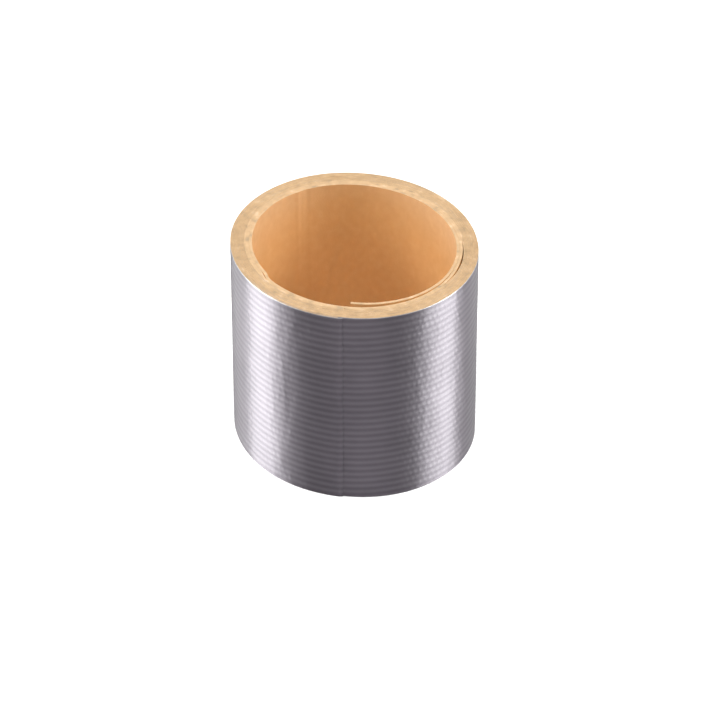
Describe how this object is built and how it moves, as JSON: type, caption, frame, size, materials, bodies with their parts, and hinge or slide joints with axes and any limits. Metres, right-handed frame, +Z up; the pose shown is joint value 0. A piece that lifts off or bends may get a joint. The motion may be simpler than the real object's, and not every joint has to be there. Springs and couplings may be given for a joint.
{
  "type": "duct tape roll",
  "caption": "Small roll of silver cloth duct tape on a coiled kraft board core, with a loose inner core end and a peelable tape end.",
  "frame": {"origin": "middle of the lower end face, on the surface the roll stands on", "axes": "+Z up the roll's axis; -Y towards the side that the core's free inner end and the tape's cut end face"},
  "size_m": [0.055, 0.0548, 0.05],
  "materials": {
    "silver_film": "satin metallic grey polyethylene with fine ribs",
    "cloth": "open woven gauze",
    "adhesive": "tacky, matt",
    "kraft_board": "matt uncoated paperboard"
  },
  "bodies": {
    "roll": {"core_board": "kraft_board", "tape_film": "silver_film", "tape_scrim": "cloth", "tape_adhesive": "adhesive"},
    "core_end": {"core_free_end": "kraft_board"},
    "tape_end": {"tape_end_film": "silver_film", "tape_end_scrim": "cloth", "tape_end_adhesive": "adhesive"}
  },
  "joints": [
    {"name": "tape_end_peel", "type": "hinge", "parent": "roll", "child": "tape_end", "pos_m": [-0.02299, -0.01388, 0.025], "axis": [0, 0, -1], "range_deg": [0, 70]},
    {"name": "core_end_flex", "type": "hinge", "parent": "roll", "child": "core_end", "pos_m": [0.02269, -0.00207, 0.025], "axis": [0, 0, -1], "range_deg": [0, 12], "stiffness_Nm_per_rad": 0.01}
  ]
}
